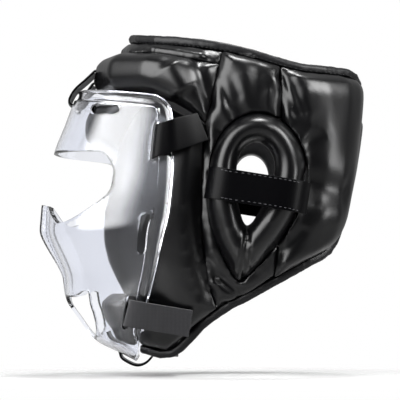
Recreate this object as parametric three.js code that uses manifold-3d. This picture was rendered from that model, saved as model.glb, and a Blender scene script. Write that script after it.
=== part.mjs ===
// Boxing headgear with a clear face shield, in the form it has when worn.
// Frame: millimetres, +Z up. The face looks along -X and the wearer's left side is -Y.
// Origin: the middle of the head hollow at the brow line.
import * as THREE from "three";
import { mergeVertices } from "three/addons/utils/BufferGeometryUtils.js";
import Module from "manifold-3d";

const wasm = await Module();
wasm.setup();

// Driving dimensions
const SEAM_GAP = 0.9; // between two sewn pieces, side by side
const HEAD_MIDDLE = 5; // fore-and-aft middle of the head sections
const SEAM_DEPTH = 13; // padding left at a seam
const RIM_DEPTH = 9; // padding left under a bound edge
const BINDING = { tall: 8.5, thick: 12.5 };
const SHIELD = { thick: 3, flange: 2, plan: 2.2 };
const STRAP_THICK = 2.2;

// Inside of the padded wall, where it meets the head, one row for each height.
// front and rear are X, half is half the width, square is how boxy the section is.
const HEAD_LEVELS = [
  { z: -205, front: -95, rear: 85, half: 42, square: 2.3 },
  { z: -150, front: -106, rear: 90, half: 57, square: 2.5 },
  { z: -110, front: -117, rear: 95, half: 68, square: 2.8 },
  { z: -70, front: -125, rear: 98, half: 75, square: 3.0 },
  { z: -30, front: -113, rear: 105, half: 78, square: 2.9 },
  { z: 0, front: -102, rear: 109, half: 78, square: 2.6 },
  { z: 45, front: -96, rear: 113, half: 77, square: 2.4 },
  { z: 75, front: -92, rear: 114, half: 72, square: 2.3 },
  { z: 115, front: -85, rear: 112, half: 66, square: 2.2 },
];

// Edges of the padded wall on the left side, seen from the side.
const TOP_RIM = [
  { x: -90, z: 100 }, { x: -68, z: 93 }, { x: -39, z: 89 }, { x: -8, z: 84 },
  { x: 12, z: 79 }, { x: 42, z: 69.5 }, { x: 64, z: 64.5 }, { x: 103, z: 63.5 }, { x: 112, z: 58 },
];
const BOTTOM_RIM = [
  { x: -80, z: -181 }, { x: -57, z: -186 }, { x: -43, z: -174.5 }, { x: -30, z: -160 },
  { x: -14, z: -148 }, { x: 20, z: -128.5 }, { x: 62, z: -104.5 }, { x: 84, z: -90 }, { x: 95, z: -66 },
];
const FRONT_SEAM = [
  { x: -8, z: 84 }, { x: -11, z: 70 }, { x: -15.7, z: 50 }, { x: -23, z: 17 }, { x: -25, z: 0 },
  { x: -26, z: -20 }, { x: -27, z: -52 }, { x: -25, z: -97 }, { x: -19, z: -130 }, { x: -14, z: -148 },
];
const REAR_CORNER = 0.13; // share of the rear edge that the top binding goes down
const REAR_SEAM = { top: { x: 42, z: 69.5 }, foot: { x: 36, z: -120 } };
const CHEEK_FRONT = [
  { x: -66, z: 43 }, { x: -84, z: 18 }, { x: -94, z: -10 }, { x: -102, z: -40 }, { x: -110, z: -70 },
  { x: -108, z: -95 }, { x: -100, z: -116 }, { x: -91, z: -135 }, { x: -84, z: -163 }, { x: -80, z: -181 },
];
const BROW_TOP = [
  { x: -92, z: 87 }, { x: -60, z: 81.5 }, { x: -42, z: 77 }, { x: -27, z: 73.3 }, { x: -11, z: 70 },
];
const BROW_BOTTOM = [
  { x: -96, z: 45 }, { x: -66, z: 44 }, { x: -50, z: 36.6 }, { x: -36, z: 28 }, { x: -23, z: 18 },
];
const CHIN_LEVELS = { low: { x: -86.5, z: -185 }, high: { x: -91, z: -135 } };
const CHIN_WAIST = { level: 0.37, wide: 0.1, deep: 7 }; // sewn line across the chin pad

// Ear ring: teardrop outlines of the roll and of the hole in it, seen from the side.
const EAR_ROLL = { x: 23.5, z: -31, half: 44.5, up: 58, down: 96, lean: -17.5 };
const EAR_HOLE = { x: 21.3, z: -22, half: 18, up: 24, down: 58, lean: -9 };
const EAR_CROWN = 37; // how far the roll stands out from the head
const EAR_FOOT = 9; // how far out its widest outline lies

// Folds pressed into the side panels: a line seen from the side, how deep and how wide.
const FOLDS = [
  { x1: 46, z1: 62, x2: 60, z2: 30, deep: 4, wide: 7 },
  { x1: -10, z1: 62, x2: 2, z2: 40, deep: 4, wide: 6 },
  { x1: 26, z1: 66, x2: 20, z2: 42, deep: 4, wide: 6 },
  { x1: -18, z1: -112, x2: 8, z2: -138, deep: 4, wide: 6 },
  { x1: 50, z1: -96, x2: 72, z2: -78, deep: 4, wide: 7 },
];

// Shield: outer face, one row for each height. ridge is how far the nose rib stands out.
const SHIELD_LEVELS = [
  { z: -200, front: -88, back: -85, half: 62, ridge: 0 },
  { z: -192, front: -105, back: -85.5, half: 66, ridge: 0 },
  { z: -181, front: -127, back: -85, half: 71, ridge: 0 },
  { z: -159, front: -145, back: -81, half: 80, ridge: 0 },
  { z: -142, front: -156, back: -78, half: 86, ridge: 0 },
  { z: -118, front: -158, back: -72, half: 93, ridge: 3 },
  { z: -82, front: -173.5, back: -64, half: 100, ridge: 7 },
  { z: -68, front: -174, back: -60, half: 102, ridge: 7 },
  { z: -34, front: -172, back: -56, half: 105, ridge: 5 },
  { z: -4, front: -168, back: -55, half: 106, ridge: 0 },
  { z: 22, front: -158, back: -56, half: 106, ridge: 0 },
  { z: 43, front: -150, back: -61, half: 104, ridge: 0 },
  { z: 60, front: -142, back: -68, half: 101, ridge: 0 },
];

// Its top edge in the middle and at the temple, and how its lower edge rises to the jaw.
const SHIELD_EDGE = { front: 53.5, temple: 40.5, jawFrom: -163, jawLift: 9 };
const SHIELD_LAST = -199.5;
const SHIELD_HEIGHTS = [
  SHIELD_EDGE.front, 47.5, 46, 34, 14, -4, -28, -52, -68,
  -84, -104, -122, -142, -160, -176, -188, -196, SHIELD_LAST,
];
const SHIELD_TURNS = [0, 0.035, 0.07, 0.16, 0.28, 0.4, 0.52, 0.64, 0.76, 0.88, 0.945, 0.958, 1];

// Openings of the shield, seen from the side.
const EYE_OPENING = [
  [-205, -4], [-124, -6], [-115, -10], [-110, -18], [-108, -27], [-108.5, -37], [-114, -47], [-128, -57],
  [-145, -67], [-157, -71.5], [-163, -70], [-169, -60], [-175, -53.5], [-180, -52], [-205, -53],
];
const MOUTH_VENT = [
  [-170, -141], [-145.5, -139.7], [-136, -133], [-130.5, -136],
  [-126, -160], [-124.5, -174], [-128, -179.5], [-170, -179.5],
];
const MOUTH_BAR = 14;
const SIDE_SLOTS = [
  { x: -70.7, z: 0, long: 37, wide: 5.6, lean: 6 }, // temple strap
  { x: -80.5, z: -82.5, long: 37, wide: 9, lean: 7.6 }, // spare
  { x: -95, z: -154, long: 32, wide: 6, lean: 13.6 }, // jaw strap
  { x: -116, z: 31.5, long: 26, wide: 8.5, lean: 93 }, // brow, both sides
];
const FRONT_SLOT = { z: 41, wide: 46, tall: 6 };
const CHIN_SLOT = { x: -104, wide: 42, tall: 6 };

// Straps: the middle line of each, one row for each bend.
// lift is the distance from the head, half the distance from the middle of the head.
const EAR_STRAP = { x: 22, z: -43.5, fall: 0.16, width: 29 };
const EAR_STRAP_ROWS = [
  { x: -23, lift: 19 }, { x: -21.6, lift: 27 }, { x: -17, lift: 36.3 }, { x: -9, lift: 40.3 },
  { x: 2, lift: 40 }, { x: 22, lift: 39.8 }, { x: 44, lift: 39.6 }, { x: 54, lift: 38 },
  { x: 61.5, lift: 33 }, { x: 66.6, lift: 25 }, { x: 68.2, lift: 18 },
];
const TOP_STRAP = { width: 40, bowMiddle: 1.4, bowEnds: 4.2 };
const TOP_STRAP_ROWS = [
  { x: -131.8, z: 74.4 }, { x: -137, z: 69 }, { x: -142.4, z: 63.6 },
  { x: -147.8, z: 58.6 }, { x: -151.6, z: 53.6 }, { x: -153.9, z: 48.4 }, { x: -154.9, z: 43.4 },
  { x: -150.5, z: 40.8 }, { x: -145.5, z: 42.5 }, { x: -142.4, z: 47 }, { x: -139.4, z: 53 },
  { x: -136, z: 58.4 }, { x: -133.4, z: 62.4 },
];
const TEMPLE_STRAP = { x: -70, z: 0.5, rise: 0.33, sewn: 27, width: 31 };
const TEMPLE_STRAP_ROWS = [
  { x: -27, half: 97 }, { x: -31, half: 99 }, { x: -38, half: 103.2 }, { x: -47, half: 107.8 },
  { x: -54, half: 111.2 }, { x: -62, half: 111.3 }, { x: -68.6, half: 110 }, { x: -71, half: 104.7 },
  { x: -68.8, half: 100.2 }, { x: -64, half: 99.2 }, { x: -56, half: 98.6 },
];
const JAW_STRAP = { x: -97.5, z: -154, rise: -0.17, width: 26 };
const JAW_STRAP_ROWS = [
  { x: -38, half: 78.5 }, { x: -52, half: 79.5 }, { x: -64, half: 82 }, { x: -74, half: 87 },
  { x: -82, half: 88.4 }, { x: -89, half: 87.6 }, { x: -95.2, half: 84.4 }, { x: -96.4, half: 79.6 },
  { x: -92.5, half: 76.4 }, { x: -86, half: 74.5 }, { x: -80, half: 72 },
];
const CHIN_STRAP = { x: -62, width: 24, thick: 3 };
const CHIN_STRAP_ROWS = [
  { y: -38.2, z: -166 }, { y: -34.6, z: -178 }, { y: -29.6, z: -187 }, { y: -17, z: -193 }, { y: 0, z: -195 },
];
const CHIN_LOOP = { width: 36 };
const CHIN_LOOP_ROWS = [
  { x: -74.8, z: -196 }, { x: -80.5, z: -201.8 }, { x: -88.6, z: -204.2 }, { x: -98, z: -200.6 },
  { x: -104.2, z: -196 }, { x: -105, z: -191 }, { x: -110, z: -186 },
  { x: -115.4, z: -180 }, { x: -117.6, z: -173 },
];

// How finely curves are worked out, and how far a cutter reaches to either side.
const EAR_STEPS = 48;
const BORDER_STEPS = 24;
const CUT_REACH = 160;

// Materials
const material = (look) => () => new THREE.MeshStandardMaterial(look);
const leather = material({ color: 0x101114, roughness: 0.35 });
const edging = material({ color: 0x1a1b1e, roughness: 0.45 });
const webbing = material({ color: 0x2a2b2e, roughness: 0.8 });
const clear = material({ color: 0xe8edf2, roughness: 0.08, transparent: true, opacity: 0.35 });

const V = (x, y, z) => new THREE.Vector3(x, y, z);
const mix = THREE.MathUtils.lerp;
const clamp = THREE.MathUtils.clamp;

// A smooth curve through one column of a table, by another column.
function columnAt(rows, by, column, value) {
  const sorted = rows[0][by] < rows[rows.length - 1][by] ? rows : [...rows].reverse();
  const last = sorted.length - 1;
  const at = clamp(value, sorted[0][by], sorted[last][by]);
  let k = 0;
  while (k < last - 1 && at > sorted[k + 1][by]) k += 1;
  const slope = (i) => {
    const low = sorted[Math.max(i - 1, 0)];
    const high = sorted[Math.min(i + 1, last)];
    return (high[column] - low[column]) / (high[by] - low[by]);
  };
  const [a, b] = [sorted[k], sorted[k + 1]];
  const span = b[by] - a[by];
  const t = (at - a[by]) / span;
  const t2 = t * t;
  const t3 = t2 * t;
  return a[column] * (2 * t3 - 3 * t2 + 1) + b[column] * (3 * t2 - 2 * t3)
    + span * (slope(k) * (t3 - 2 * t2 + t) + slope(k + 1) * (t3 - t2));
}

// All other columns of a table at one value of the first.
function rowAt(rows, by, value) {
  const columns = Object.keys(rows[0]).filter((column) => column !== by);
  return Object.fromEntries(columns.map((column) => [column, columnAt(rows, by, column, value)]));
}

// The head form. A turn of 0 is the middle of the brow, plus is the wearer's left, PI the back.
const headSection = (z) => rowAt(HEAD_LEVELS, "z", z);
const headReach = (s, front) => (front ? HEAD_MIDDLE - s.front : s.rear - HEAD_MIDDLE);

function headPoint(turn, z) {
  const s = headSection(z);
  const [c, w] = [Math.cos(turn), Math.sin(turn)];
  const power = 2 / s.square;
  const x = HEAD_MIDDLE - Math.sign(c) * headReach(s, c >= 0) * Math.abs(c) ** power;
  return V(x, -Math.sign(w) * s.half * Math.abs(w) ** power, z);
}

function headLevel(p) {
  const s = headSection(p.z);
  const along = Math.abs((p.x - HEAD_MIDDLE) / headReach(s, p.x < HEAD_MIDDLE));
  return (along ** s.square + Math.abs(p.y / s.half) ** s.square) ** (1 / s.square);
}

function headNormal(p) {
  const step = 0.5;
  const n = V(0, 0, 0);
  for (const axis of ["x", "y", "z"]) {
    const [a, b] = [p.clone(), p.clone()];
    a[axis] -= step;
    b[axis] += step;
    n[axis] = headLevel(b) - headLevel(a);
  }
  return n.normalize();
}

// Half width of the head at a place seen from the side, and the turn that reaches that place.
const shareOfReach = (s, x) => Math.min(Math.abs((x - HEAD_MIDDLE) / headReach(s, x < HEAD_MIDDLE)), 1);

function headHalf(x, z) {
  const s = headSection(z);
  return s.half * (1 - shareOfReach(s, x) ** s.square) ** (1 / s.square);
}

function turnAt(x, z) {
  const s = headSection(z);
  const angle = Math.acos(shareOfReach(s, x) ** (s.square / 2));
  return x < HEAD_MIDDLE ? angle : Math.PI - angle;
}

// A line of side-view rows turned into a curve on the head form, from its first row (0) to its last (1).
function sideCurve(rows) {
  const points = rows.map((r) => V(turnAt(r.x, r.z), r.z / 100, 0));
  const curve = new THREE.CatmullRomCurve3(points, false, "centripetal");
  return (t) => {
    const p = curve.getPoint(clamp(t, 0, 1));
    return { turn: p.x, z: p.y * 100 };
  };
}

const mirrored = (p) => ({ turn: -p.turn, z: p.z });
const part = (curve, from, to) => (t) => curve(mix(from, to, t));
const straight = (a, b) => (s) => ({ turn: mix(turnAt(a.x, a.z), turnAt(b.x, b.z), s), z: mix(a.z, b.z, s) });

// The same from side to side across the front: its first row is moved to the middle of the front.
function acrossFront(rows) {
  const side = sideCurve([{ x: headSection(rows[0].z).front, z: rows[0].z }, ...rows.slice(1)]);
  return (t) => (t < 0.5 ? mirrored(side(1 - 2 * t)) : side(2 * t - 1));
}

// Closed solids from a box whose points are put in place by a function.
function facingOut(geometry) {
  const at = geometry.getAttribute("position");
  const index = geometry.getIndex();
  const [a, b, c] = [V(), V(), V()];
  let volume = 0;
  for (let i = 0; i < index.count; i += 3) {
    a.fromBufferAttribute(at, index.getX(i));
    b.fromBufferAttribute(at, index.getX(i + 1));
    c.fromBufferAttribute(at, index.getX(i + 2));
    volume += a.dot(b.clone().cross(c));
  }
  if (volume < 0) {
    for (let i = 0; i < index.count; i += 3) {
      const first = index.getX(i);
      index.setX(i, index.getX(i + 1));
      index.setX(i + 1, first);
    }
  }
  return geometry;
}

function closed(geometry) {
  geometry.deleteAttribute("normal");
  geometry.deleteAttribute("uv");
  return facingOut(mergeVertices(geometry, 1e-3));
}

function placed(geometry, place) {
  const at = geometry.getAttribute("position");
  const uv = geometry.getAttribute("uv");
  for (let i = 0; i < at.count; i += 1) {
    const p = place(at.getX(i) + 0.5, at.getY(i) + 0.5, at.getZ(i) + 0.5, uv.getX(i), uv.getY(i));
    at.setXYZ(i, p.x, p.y, p.z);
  }
  return closed(geometry);
}

const bentBox = (steps, place) => placed(new THREE.BoxGeometry(1, 1, 1, ...steps), place);

function toSegment(p, a, b) {
  const along = b.clone().sub(a);
  const t = clamp(p.clone().sub(a).dot(along) / Math.max(along.lengthSq(), 1e-9), 0, 1);
  return p.distanceTo(a.clone().addScaledVector(along, t));
}

function toBorder(p, border) {
  return Math.min(...border.map((a, k) => toSegment(p, a, border[(k + 1) % border.length])));
}

const quarterRound = (d, radius) => Math.sqrt(Math.max(0, 1 - (1 - clamp(d / radius, 0, 1)) ** 2));
const crowded = (t) => mix(t, (1 - Math.cos(Math.PI * t)) / 2, 0.55);

// Teardrop outline, seen from the side: a half ellipse on top that tapers to a point below.
function teardrop(form, angle, grow = 0) {
  const [c, s] = [Math.cos(angle), Math.sin(angle)];
  const half = form.half + grow;
  if (s >= 0) return { x: form.x + half * c, z: form.z + (form.up + grow) * s };
  const x = form.x + form.lean * (-s) ** 1.3 + half * Math.sign(c) * c * c;
  return { x, z: form.z + (form.down + grow * 1.4) * s };
}

const earOutline = (grow) => Array.from({ length: EAR_STEPS }, (_, k) => {
  const p = teardrop(EAR_ROLL, (k / EAR_STEPS) * 2 * Math.PI, grow);
  return V(p.x, 0, p.z);
});
const earBorder = earOutline(0);

function toEarRoll(p) {
  return toBorder(V(p.x, 0, p.z), earBorder);
}

function foldDepth(p) {
  let deep = 0;
  for (const f of FOLDS) {
    const d = toSegment(V(p.x, 0, p.z), V(f.x1, 0, f.z1), V(f.x2, 0, f.z2));
    deep += f.deep * Math.exp(-((d / f.wide) ** 2));
  }
  return deep;
}

// A padded panel between two curves on the head form: thin at its seams, full in the middle.
// low and high are those curves, full its thickness and edge that at its seams,
// and round is how far its rounding reaches.
function pad({ low, high, steps, full, edge = SEAM_DEPTH, round, besideEar = false, inset = SEAM_GAP / 2 }) {
  const onHead = (s, c) => {
    const [a, b] = [low(s), high(s)];
    return headPoint(mix(a.turn, b.turn, c), mix(a.z, b.z, c));
  };
  const within = (t, a, b, c) => {
    const share = inset / (a.distanceTo(b) + b.distanceTo(c));
    return mix(share, 1 - share, t);
  };
  const spot = (s, c) => onHead(
    within(s, onHead(0, c), onHead(0.5, c), onHead(1, c)),
    within(c, onHead(s, 0), onHead(s, 0.5), onHead(s, 1)),
  );
  const border = [];
  const n = BORDER_STEPS;
  for (let k = 0; k < n; k += 1) border.push(spot(k / n, 0));
  for (let k = 0; k < n; k += 1) border.push(spot(1, k / n));
  for (let k = n; k > 0; k -= 1) border.push(spot(k / n, 1));
  for (let k = n; k > 0; k -= 1) border.push(spot(0, k / n));
  const fullAt = typeof full === "function" ? full : () => full;
  const edgeAt = typeof edge === "function" ? edge : () => edge;
  return bentBox([...steps, 1], (s, c, d) => {
    const p = spot(crowded(s), crowded(c));
    if (d < 0.5) return p;
    const nearest = Math.min(toBorder(p, border), besideEar ? toEarRoll(p) : Infinity);
    const fold = besideEar ? foldDepth(p) : 0;
    const atSeam = edgeAt(crowded(s), crowded(c));
    const depth = atSeam + (fullAt(crowded(s), crowded(c)) - atSeam - fold) * quarterRound(nearest, round);
    return p.clone().addScaledVector(headNormal(p), depth);
  });
}

// Cuts
const toManifold = (geometry) => new wasm.Manifold(new wasm.Mesh({
  numProp: 3,
  vertProperties: new Float32Array(geometry.getAttribute("position").array),
  triVerts: new Uint32Array(geometry.getIndex().array),
}));

function fromManifold(solid) {
  const mesh = solid.getMesh();
  const geometry = new THREE.BufferGeometry();
  geometry.setAttribute("position", new THREE.BufferAttribute(new Float32Array(mesh.vertProperties), 3));
  geometry.setIndex(new THREE.BufferAttribute(new Uint32Array(mesh.triVerts), 1));
  return geometry;
}

// A prism along Y from a side-view outline.
function sidePrism(points, from, to) {
  const shape = new THREE.Shape(points.map(([x, z]) => new THREE.Vector2(x, z)));
  const prism = new THREE.ExtrudeGeometry(shape, { depth: to - from, bevelEnabled: false, curveSegments: 6 });
  prism.rotateX(Math.PI / 2);
  prism.translate(0, to, 0);
  return toManifold(closed(prism));
}

const earCutter = sidePrism(earOutline(SEAM_GAP).map((p) => [p.x, p.z]), -CUT_REACH, 0);
const cutForEar = (geometry) => fromManifold(toManifold(geometry).subtract(earCutter));

// Padded panels of the front
const browLow = acrossFront(BROW_BOTTOM);
const browHigh = acrossFront(BROW_TOP);
const rimFront = acrossFront(TOP_RIM.slice(0, 4));
const middleShare = (s) => 1 - Math.abs(2 * s - 1);

const foreheadPanel = pad({
  low: browHigh, high: rimFront, steps: [20, 3],
  full: (s, c) => mix(mix(18, 22, middleShare(s)), RIM_DEPTH + 2, c),
  edge: (s, c) => mix(15, RIM_DEPTH + 1, c), round: 8,
});
const browPad = pad({
  low: browLow, high: browHigh, steps: [20, 6],
  full: (s) => mix(20, 38, Math.min(1, 1.6 * middleShare(s))), edge: 15, round: 16,
});
const cheekFront = sideCurve(CHEEK_FRONT);
const bandEdge = part(cheekFront, 0, 2 / (CHEEK_FRONT.length - 1));
const foreheadBand = pad({
  low: (s) => mirrored(bandEdge(s)), high: bandEdge, steps: [5, 18],
  full: (s, c) => mix(26, 40, Math.min(1, 1.5 * middleShare(c))), edge: 12, round: 16, inset: 1.2,
});
const roundChin = ({ x, z }) => (s) => ({ turn: mix(-1, 1, s) * turnAt(x, z), z });
const chinWaist = (c) => CHIN_WAIST.deep * Math.exp(-(((c - CHIN_WAIST.level) / CHIN_WAIST.wide) ** 2));
const chinPad = pad({
  low: roundChin(CHIN_LEVELS.low), high: roundChin(CHIN_LEVELS.high), steps: [12, 6],
  full: (s, c) => mix(11, 17, clamp(2 * c, 0, 1)) - chinWaist(c),
  edge: 4, round: 9, inset: 0.2,
});

// Padded panels of the left side
const ABOVE_RIM = 0.988; // share of a seam that the side panel takes before the bound edge
const frontSeam = sideCurve(FRONT_SEAM);
const rearSeam = straight(REAR_SEAM.top, REAR_SEAM.foot);
const cheekRear = sideCurve([...FRONT_SEAM.slice(3), ...BOTTOM_RIM.slice(1, 4).reverse()]);
const cheekPad = pad({
  low: cheekFront, high: cheekRear, steps: [16, 6], full: (s) => mix(25, 22, s), round: 18,
});
const sidePanel = cutForEar(pad({
  low: part(frontSeam, 0, ABOVE_RIM), high: part(rearSeam, 0, ABOVE_RIM), steps: [15, 7],
  full: (s) => mix(25, 20, s), round: 20, besideEar: true,
}));
const rearPanel = cutForEar(pad({
  low: sideCurve([REAR_SEAM.foot, ...BOTTOM_RIM.slice(6)]),
  high: sideCurve([REAR_SEAM.top, ...TOP_RIM.slice(6)]), steps: [9, 12],
  full: (s) => mix(27, 15, s * s), round: 22, besideEar: true,
}));

// Plain panel between the two rear panels
const rearLine = straight(TOP_RIM.at(-1), BOTTOM_RIM.at(-1));
const rearEdge = part(rearLine, REAR_CORNER + 0.03, 0.93);
const rearEdgeRight = (s) => ({ turn: 2 * Math.PI - rearEdge(s).turn, z: rearEdge(s).z });
const rearClosure = pad({
  low: rearEdge, high: rearEdgeRight, steps: [5, 6], full: (s) => mix(15, 11, s), edge: 8, round: 9,
});

// Ear ring: a torus whose turns follow the teardrop and whose tube is a roll that stands on the head.
const earRing = placed(new THREE.TorusGeometry(1, 0.4, 9, 24), (x, y, z, around, section) => {
  const angle = around * 2 * Math.PI;
  const [c, s] = [Math.cos(section * 2 * Math.PI), Math.sin(section * 2 * Math.PI)];
  const outside = teardrop(EAR_ROLL, angle);
  const inside = teardrop(EAR_HOLE, angle);
  const across = 0.5 - 0.5 * c;
  const [px, pz] = [mix(outside.x, inside.x, across), mix(outside.z, inside.z, across)];
  const pinch = 1 - 0.25 * Math.exp(-(((angle - 1.5 * Math.PI) / 0.12) ** 2));
  const depth = s >= 0 ? mix(EAR_FOOT, EAR_CROWN * pinch, s ** 0.85) : EAR_FOOT * (1 - (-s) ** 0.6);
  return V(px, -(headHalf(px, pz) + depth), pz);
});

// Strips: a flat band along a path, with its width along a given direction.
// bow is how far back its long edges lie from its middle.
function strip({ path, across, width, thick = STRAP_THICK, bow = () => 0, steps, acrossSteps = 1 }) {
  const curve = new THREE.CatmullRomCurve3(path, false, "centripetal");
  return bentBox([steps, acrossSteps, 1], (s, c, d) => {
    const side = (typeof across === "function" ? across(s) : across.clone()).normalize();
    const p = curve.getPointAt(s);
    const normal = curve.getTangentAt(s).cross(side).normalize();
    const wide = typeof width === "function" ? width(s) : width;
    const back = V(bow(s) * (2 * c - 1) ** 2, 0, 0);
    return p.addScaledVector(side, (c - 0.5) * wide).addScaledVector(normal, (d - 0.5) * thick).add(back);
  });
}

// A bound edge: a rounded bead along a curve of the rim, standing on the wall.
function binding({ curve, steps, up }) {
  const at = (t) => {
    const r = curve(t);
    const p = headPoint(r.turn, r.z);
    return p.addScaledVector(headNormal(p), RIM_DEPTH / 2);
  };
  return bentBox([steps, 2, 2], (s, c, d) => {
    const p = at(s);
    const along = at(Math.min(1, s + 0.004)).sub(at(Math.max(0, s - 0.004))).normalize();
    const out = headNormal(p);
    const away = along.clone().cross(out).normalize().multiplyScalar(up);
    const [u, v] = [2 * c - 1, 2 * d - 1];
    const soft = Math.abs(u * v) > 0.5 ? 0.82 : 1;
    return p.addScaledVector(away, (BINDING.tall / 2) * (1 + u * soft) + SEAM_GAP / 2)
      .addScaledVector(out, (BINDING.thick / 2) * v * soft);
  });
}

const rimAcross = acrossFront(TOP_RIM);
const RIM_STEPS = 34;
const cornerShare = 2 / RIM_STEPS; // share of the top binding that each end takes down the rear edge
function rimAndCorners(t) {
  if (t < cornerShare) return mirrored(rearLine((1 - t / cornerShare) * REAR_CORNER));
  if (t > 1 - cornerShare) return rearLine((1 - (1 - t) / cornerShare) * REAR_CORNER);
  return rimAcross((t - cornerShare) / (1 - 2 * cornerShare));
}
const topBinding = binding({ curve: rimAndCorners, steps: RIM_STEPS, up: -1 });
const bottomBinding = binding({ curve: sideCurve(BOTTOM_RIM), steps: 22, up: 1 });

// Ear strap: over the roll, straight across the hole, down to the seams at both ends.
const earStrap = strip({
  path: EAR_STRAP_ROWS.map((r) => {
    const z = EAR_STRAP.z - EAR_STRAP.fall * (r.x - EAR_STRAP.x);
    return V(r.x, -(headHalf(EAR_STRAP.x, z) + r.lift), z);
  }),
  across: V(EAR_STRAP.fall, 0, 1), width: EAR_STRAP.width, steps: 18,
});

// Shield
function shieldPoint(share, z) {
  const row = rowAt(SHIELD_LEVELS, "z", z);
  const angle = (share * Math.PI) / 2;
  const power = 2 / SHIELD.plan;
  const y = -row.half * Math.sign(angle) * Math.abs(Math.sin(angle)) ** power;
  const x = row.back + (row.front - row.back) * Math.max(Math.cos(angle), 0) ** power;
  return V(x - row.ridge * (1 - THREE.MathUtils.smoothstep(Math.abs(y), 6.5, 14)), y, z);
}

function shieldNormal(share, z) {
  const [a, b] = [clamp(share, -0.985, 0.985), clamp(z, -197, 55)];
  const around = shieldPoint(a + 0.01, b).sub(shieldPoint(a - 0.01, b));
  const upward = shieldPoint(a, b + 1.5).sub(shieldPoint(a, b - 1.5));
  return upward.cross(around).normalize();
}

const shieldTurns = [...SHIELD_TURNS.slice(1).reverse().map((t) => -t), ...SHIELD_TURNS];
const shieldBlank = bentBox([shieldTurns.length - 1, SHIELD_HEIGHTS.length - 1, 1], (s, c, d) => {
  const i = Math.round(s * (shieldTurns.length - 1));
  const j = Math.round((1 - c) * (SHIELD_HEIGHTS.length - 1));
  const share = shieldTurns[i];
  const level = SHIELD_HEIGHTS[j];
  const drop = (SHIELD_EDGE.front - SHIELD_EDGE.temple) * Math.abs(share) ** 1.4;
  const lift = SHIELD_EDGE.jawLift * Math.abs(share) ** 3;
  const atTop = clamp((level + 4) / 60, 0, 1);
  const atJaw = clamp((SHIELD_EDGE.jawFrom - level) / (SHIELD_EDGE.jawFrom - SHIELD_LAST), 0, 1);
  const z = level - drop * atTop + lift * atJaw;
  const p = shieldPoint(share, z);
  const n = shieldNormal(share, z);
  const rim = Math.abs(share) > 0.95 || j < 2;
  return p.addScaledVector(n, d > 0.5 ? (rim ? SHIELD.flange : 0) : -SHIELD.thick);
});

function slotOutline({ x, z, long, wide, lean }) {
  const [c, s] = [Math.cos((lean * Math.PI) / 180), Math.sin((lean * Math.PI) / 180)];
  const points = [];
  for (let k = 0; k < 8; k += 1) {
    const half = k < 4 ? 1 : -1;
    const a = ((k % 4) / 3) * Math.PI + (k < 4 ? 0 : Math.PI);
    const [u, v] = [(wide / 2) * Math.cos(a), (wide / 2) * Math.sin(a) + half * (long - wide) / 2];
    points.push([x + u * c + v * s, z - u * s + v * c]);
  }
  return points;
}

const rectangle = (x0, x1, z0, z1) => [[x0, z0], [x1, z0], [x1, z1], [x0, z1]];
const around = (middle, size) => [middle - size / 2, middle + size / 2];

const shieldCuts = [
  sidePrism(EYE_OPENING, -CUT_REACH, CUT_REACH),
  sidePrism(MOUTH_VENT, -CUT_REACH, -MOUTH_BAR / 2),
  sidePrism(MOUTH_VENT, MOUTH_BAR / 2, CUT_REACH),
  ...SIDE_SLOTS.map((slot) => sidePrism(slotOutline(slot), -CUT_REACH, CUT_REACH)),
  sidePrism(rectangle(-170, -130, ...around(FRONT_SLOT.z, FRONT_SLOT.tall)), ...around(0, FRONT_SLOT.wide)),
  sidePrism(rectangle(...around(CHIN_SLOT.x, CHIN_SLOT.tall), -210, -178), ...around(0, CHIN_SLOT.wide)),
];
const shield = shieldCuts.reduce((solid, cut) => solid.subtract(cut), toManifold(shieldBlank));
const faceShield = fromManifold(shield);

// Straps that hold the shield: out over its edge, through the slot and back on the inside.
const inMiddle = (rows) => rows.map((r) => V(r.x, 0, r.z));
const middleStrap = (rows, form) => strip({ path: inMiddle(rows), across: V(0, 1, 0), steps: 20, ...form });
const topStrap = middleStrap(TOP_STRAP_ROWS, {
  width: TOP_STRAP.width,
  bow: (s) => mix(TOP_STRAP.bowMiddle, TOP_STRAP.bowEnds, Math.abs(2 * s - 1)),
  acrossSteps: 2,
});
const chinLoop = middleStrap(CHIN_LOOP_ROWS, CHIN_LOOP);
const onSide = (rows, strap) => rows.map((r) => V(r.x, -r.half, strap.z + strap.rise * (r.x - strap.x)));
const templeStrap = strip({
  path: onSide(TEMPLE_STRAP_ROWS, TEMPLE_STRAP),
  across: (s) => V(mix(-0.4, 0.105, Math.min(1, 1.7 * s)), 0, 1),
  width: (s) => mix(TEMPLE_STRAP.sewn, TEMPLE_STRAP.width, Math.min(1, 1.5 * s)),
  steps: 20,
});
const jawStrap = strip({
  path: onSide(JAW_STRAP_ROWS, JAW_STRAP),
  across: (s) => V(mix(0.15, 0.24, Math.min(1, 1.7 * s)), -0.34, 0.94),
  width: JAW_STRAP.width,
  steps: 20,
});

// Chin strap: sewn inside both cheek pads, under the chin between them.
const otherSide = CHIN_STRAP_ROWS.slice(0, -1).reverse().map((r) => ({ y: -r.y, z: r.z }));
const chinStrap = strip({
  path: [...CHIN_STRAP_ROWS, ...otherSide].map((r) => V(CHIN_STRAP.x, r.y, r.z)),
  across: V(1, 0, 0), width: CHIN_STRAP.width, thick: CHIN_STRAP.thick, steps: 10,
});

const headgear = new THREE.Group();
headgear.name = "boxing_headgear";

function add(name, geometry, material, right = false) {
  const mesh = new THREE.Mesh(geometry, material);
  mesh.name = name;
  if (right) mesh.scale.y = -1;
  headgear.add(mesh);
}

function addPair(name, geometry, material) {
  add(`${name}_left`, geometry, material());
  add(`${name}_right`, geometry, material(), true);
}

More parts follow.
